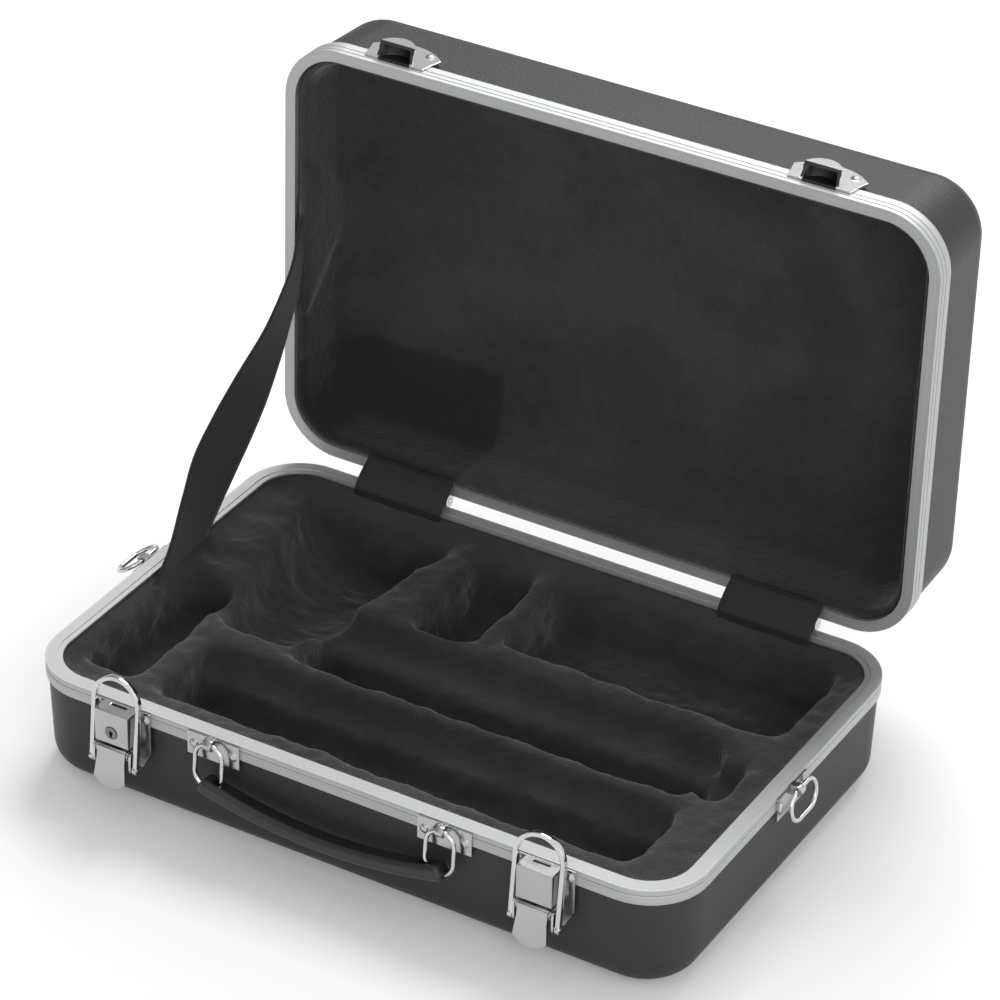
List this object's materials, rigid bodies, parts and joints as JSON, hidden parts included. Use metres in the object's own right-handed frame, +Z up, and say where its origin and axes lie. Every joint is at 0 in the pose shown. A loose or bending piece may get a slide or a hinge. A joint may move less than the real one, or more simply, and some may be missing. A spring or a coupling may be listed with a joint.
{
  "type": "clarinet case",
  "caption": "Hard clarinet case with hinged lid, draw latches, swinging handle and a fitted plush interior.",
  "frame": {"origin": "middle of the base's flat underside", "axes": "+X along the case, +Y towards the hinges, +Z up"},
  "size_m": [0.3966, 0.3217, 0.312],
  "materials": {
    "shell": "fine moulded grain",
    "valance": "satin with fine lengthwise lines",
    "plush": "short pile, nap laid in patches",
    "hardware": "nickel plated, slightly brushed",
    "hinge": "nickel plated",
    "grip": "moulded, lightly grained",
    "webbing": "plain woven",
    "cover": "coated cloth"
  },
  "bodies": {
    "base": {"base_shell": "shell", "base_valance": "valance", "base_insert": "plush", "hinge_leaf_base_left": "hinge", "hinge_leaf_base_right": "hinge", "hinge_pin_left": "hinge", "hinge_pin_right": "hinge", "hinge_rivets_base": "hinge", "latch_plate_left": "hardware", "latch_plate_right": "hardware", "latch_housing_left": "hardware", "latch_housing_right": "hardware", "latch_rivets": "hardware", "handle_bracket_left": "hardware", "handle_bracket_right": "hardware", "handle_rivets": "hardware", "side_bracket_left": "hardware", "side_bracket_right": "hardware", "side_rivets": "hardware", "stay_anchor_base": "hardware", "stay_rivets_base": "hardware", "stay_strap": "webbing", "hinge_cover_left": "cover", "hinge_cover_right": "cover"},
    "lid": {"lid_shell": "shell", "lid_valance": "valance", "lid_lining": "plush", "hinge_leaf_lid_left": "hinge", "hinge_leaf_lid_right": "hinge", "hinge_rivets_lid": "hinge", "catch_left": "hardware", "catch_right": "hardware", "catch_rivets": "hardware", "stay_anchor_lid": "hardware", "stay_rivets_lid": "hardware"},
    "lever_left": {"latch_lever_left": "hardware", "latch_pin_left": "hardware", "latch_cranks_left": "hardware"},
    "lever_right": {"latch_lever_right": "hardware", "latch_pin_right": "hardware", "latch_cranks_right": "hardware"},
    "bail_left": {"latch_bail_left": "hardware"},
    "bail_right": {"latch_bail_right": "hardware"},
    "lock": {"lock_cylinder": "hardware"},
    "handle": {"handle_grip": "grip", "handle_ring_left": "hardware", "handle_ring_right": "hardware"},
    "strap_ring_left": {"side_ring_left": "hardware"},
    "strap_ring_right": {"side_ring_right": "hardware"}
  },
  "joints": [
    {"name": "lid_hinge", "type": "hinge", "parent": "base", "child": "lid", "pos_m": [0.0025, 0.1226, 0.062], "axis": [1, 0, 0], "range_deg": [0, 91.1], "deforming": ["stay_strap", "hinge_cover_left", "hinge_cover_right"]},
    {"name": "lever_left", "type": "hinge", "parent": "base", "child": "lever_left", "pos_m": [-0.1235, -0.1268, 0.0375], "axis": [-1, 0, 0], "range_deg": [0, 105]},
    {"name": "bail_left", "type": "hinge", "parent": "lever_left", "child": "bail_left", "pos_m": [-0.1235, -0.1268, 0.03], "axis": [1, 0, 0], "range_deg": [0, 157.5]},
    {"name": "lever_right", "type": "hinge", "parent": "base", "child": "lever_right", "pos_m": [0.1155, -0.1268, 0.0375], "axis": [-1, 0, 0], "range_deg": [0, 105]},
    {"name": "bail_right", "type": "hinge", "parent": "lever_right", "child": "bail_right", "pos_m": [0.1155, -0.1268, 0.03], "axis": [1, 0, 0], "range_deg": [0, 157.5]},
    {"name": "lock_turn", "type": "hinge", "parent": "base", "child": "lock", "pos_m": [-0.1235, -0.1266, 0.0488], "axis": [0, 1, 0], "range_deg": [0, 90]},
    {"name": "handle_swing", "type": "hinge", "parent": "base", "child": "handle", "pos_m": [-0.004, -0.123, 0.0584], "axis": [-1, 0, 0], "range_deg": [0, 90]},
    {"name": "strap_ring_left_swing", "type": "hinge", "parent": "base", "child": "strap_ring_left", "pos_m": [-0.1894, -0.004, 0.0584], "axis": [0, 1, 0], "range_deg": [-58, 60]},
    {"name": "strap_ring_right_swing", "type": "hinge", "parent": "base", "child": "strap_ring_right", "pos_m": [0.1894, -0.004, 0.0584], "axis": [0, -1, 0], "range_deg": [-8, 110]}
  ],
  "couplings": [
    {"joint": "bail_left", "follows": "lever_left", "ratio": 1.5},
    {"joint": "bail_right", "follows": "lever_right", "ratio": 1.5}
  ]
}
